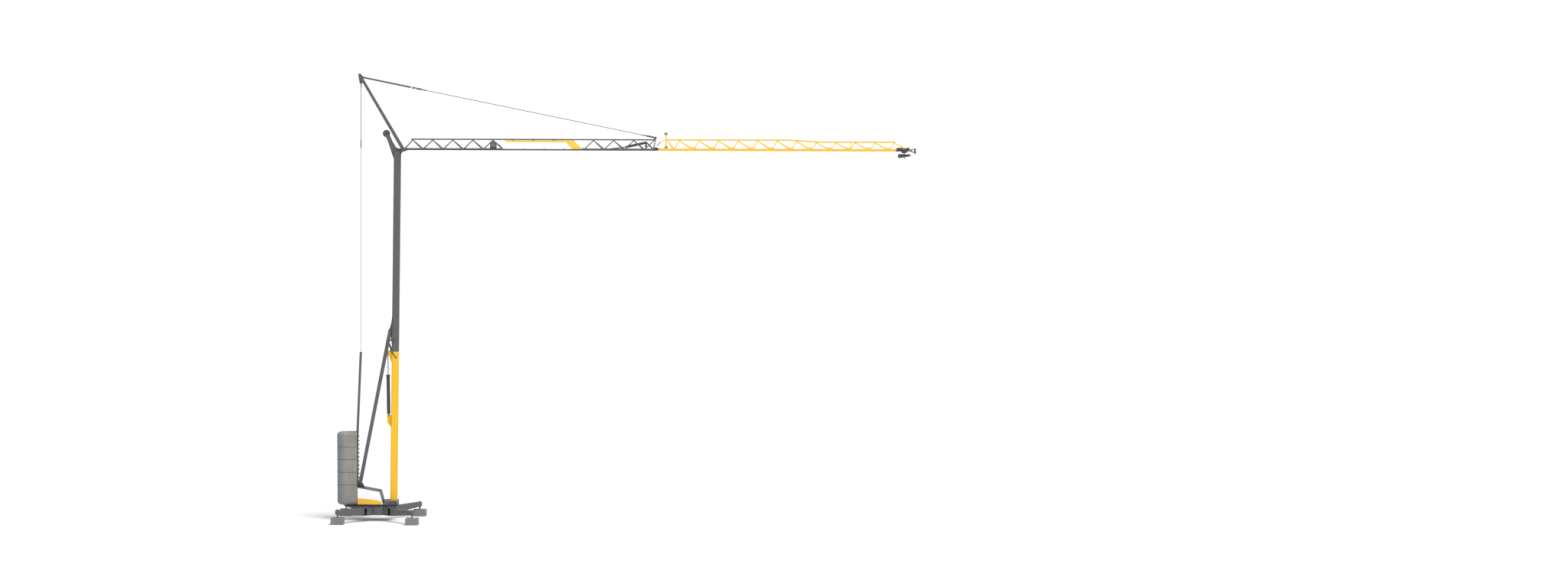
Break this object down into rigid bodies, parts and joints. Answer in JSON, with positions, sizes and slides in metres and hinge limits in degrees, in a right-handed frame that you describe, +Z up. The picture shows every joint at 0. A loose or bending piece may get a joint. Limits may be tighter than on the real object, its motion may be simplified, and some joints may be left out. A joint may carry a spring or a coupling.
{
  "type": "fast-erecting tower crane",
  "caption": "Bottom-slewing fast-erecting tower crane with a lattice jib, trolley and hook, stacked tail ballast and four outriggers.",
  "frame": {"origin": "on the ground at the slewing axis, midway between the four support pads", "axes": "+X along the jib towards its tip, +Z up, +Y across the crane"},
  "size_m": [30.0875, 4.515, 23.192],
  "materials": {
    "yellow_paint": "satin",
    "grey_paint": "satin",
    "dark_trim": "satin",
    "concrete": "matte",
    "cabinet_paint": "satin",
    "sign_face": "satin",
    "chrome_rod": "polished",
    "steel_rope": "satin",
    "worn_steel": "satin"
  },
  "bodies": {
    "undercarriage": {"centre_frame": "grey_paint"},
    "outrigger_front_left": {"outrigger_front_left": "grey_paint", "ground_pad_front_left": "concrete"},
    "outrigger_front_right": {"outrigger_front_right": "grey_paint", "ground_pad_front_right": "concrete"},
    "outrigger_rear_right": {"outrigger_rear_right": "grey_paint", "ground_pad_rear_right": "concrete"},
    "outrigger_rear_left": {"outrigger_rear_left": "grey_paint", "ground_pad_rear_left": "concrete"},
    "superstructure": {"platform_frame": "grey_paint", "ballast_block_1": "concrete", "ballast_block_2": "concrete", "ballast_block_3": "concrete", "ballast_block_4": "concrete", "ballast_block_5": "concrete", "ballast_ladder": "dark_trim", "machinery_cabinet": "cabinet_paint", "cabinet_trim": "dark_trim", "strut_shoe": "dark_trim", "lower_mast": "yellow_paint", "upper_mast": "grey_paint", "head_sheave": "worn_steel", "mast_strut": "grey_paint", "fold_cylinder_barrel": "dark_trim", "fold_cylinder_rod": "chrome_rod", "fold_links": "grey_paint"},
    "jib": {"inner_jib_far_side": "grey_paint", "inner_jib_floor": "grey_paint", "inner_jib_near_side": "grey_paint", "inner_jib_top_chord": "grey_paint", "outer_jib_far_side": "yellow_paint", "outer_jib_floor": "yellow_paint", "outer_jib_near_side": "yellow_paint", "outer_jib_top_chord": "yellow_paint", "jib_root_shaft": "grey_paint", "inner_end_frame": "grey_paint", "outer_hinge_frame": "yellow_paint", "jib_fold_lever": "dark_trim", "jib_fold_hinge": "dark_trim", "jib_winch": "dark_trim", "sign_board": "sign_face", "tip_frame": "dark_trim", "top_strut": "grey_paint", "stay_bars": "grey_paint", "stay_rope": "steel_rope"},
    "guy_lower": {"guy_rod": "grey_paint"},
    "guy_upper": {"guy_rope": "steel_rope"},
    "trolley": {"trolley_frame": "dark_trim", "trolley_wheels": "worn_steel"},
    "falls": {"falls_head": "dark_trim", "hoist_falls": "steel_rope"},
    "hook_block": {"hook_block": "dark_trim"},
    "hook": {"hook": "worn_steel"}
  },
  "joints": [
    {"name": "swing_front_left", "type": "hinge", "parent": "undercarriage", "child": "outrigger_front_left", "pos_m": [-0.76367, -0.76367, 0.5125], "axis": [0, 0, -1], "range_deg": [0, 45]},
    {"name": "swing_front_right", "type": "hinge", "parent": "undercarriage", "child": "outrigger_front_right", "pos_m": [0.76367, -0.76367, 0.5125], "axis": [0, 0, 1], "range_deg": [0, 45]},
    {"name": "swing_rear_right", "type": "hinge", "parent": "undercarriage", "child": "outrigger_rear_right", "pos_m": [0.76367, 0.76367, 0.5125], "axis": [0, 0, -1], "range_deg": [0, 45]},
    {"name": "swing_rear_left", "type": "hinge", "parent": "undercarriage", "child": "outrigger_rear_left", "pos_m": [-0.76367, 0.76367, 0.5125], "axis": [0, 0, 1], "range_deg": [0, 45]},
    {"name": "slew", "type": "hinge", "parent": "undercarriage", "child": "superstructure", "pos_m": [0, 0, 0.745], "axis": [0, 0, 1], "continuous": true},
    {"name": "luff", "type": "hinge", "parent": "superstructure", "child": "jib", "pos_m": [1.353, 0, 19.29], "axis": [0, -1, 0], "range_deg": [0, 30]},
    {"name": "guy_swing", "type": "hinge", "parent": "superstructure", "child": "guy_lower", "pos_m": [-1.22, 0, 1.78], "axis": [0, -1, 0], "range_deg": [0, 5]},
    {"name": "guy_shorten", "type": "slide", "parent": "guy_lower", "child": "guy_upper", "axis": [0.0066, 0, 1], "range_m": [-1.7, 0]},
    {"name": "trolley_travel", "type": "slide", "parent": "jib", "child": "trolley", "axis": [1, 0, 0], "range_m": [-24.9, 0]},
    {"name": "falls_plumb", "type": "hinge", "parent": "trolley", "child": "falls", "pos_m": [27.235, 0, 19.175], "axis": [0, -1, 0], "range_deg": [-30, 0]},
    {"name": "hoist", "type": "slide", "parent": "falls", "child": "hook_block", "axis": [0, 0, -1], "range_m": [0, 17.3], "deforming": ["hoist_falls"]},
    {"name": "hook_swivel", "type": "hinge", "parent": "hook_block", "child": "hook", "pos_m": [27.235, 0, 18.9], "axis": [0, 0, 1], "continuous": true}
  ],
  "couplings": [
    {"joint": "guy_swing", "follows": "luff", "ratio": 0.14014},
    {"joint": "guy_shorten", "follows": "luff", "m_per_rad": -2.8963},
    {"joint": "falls_plumb", "follows": "luff", "ratio": -1}
  ]
}
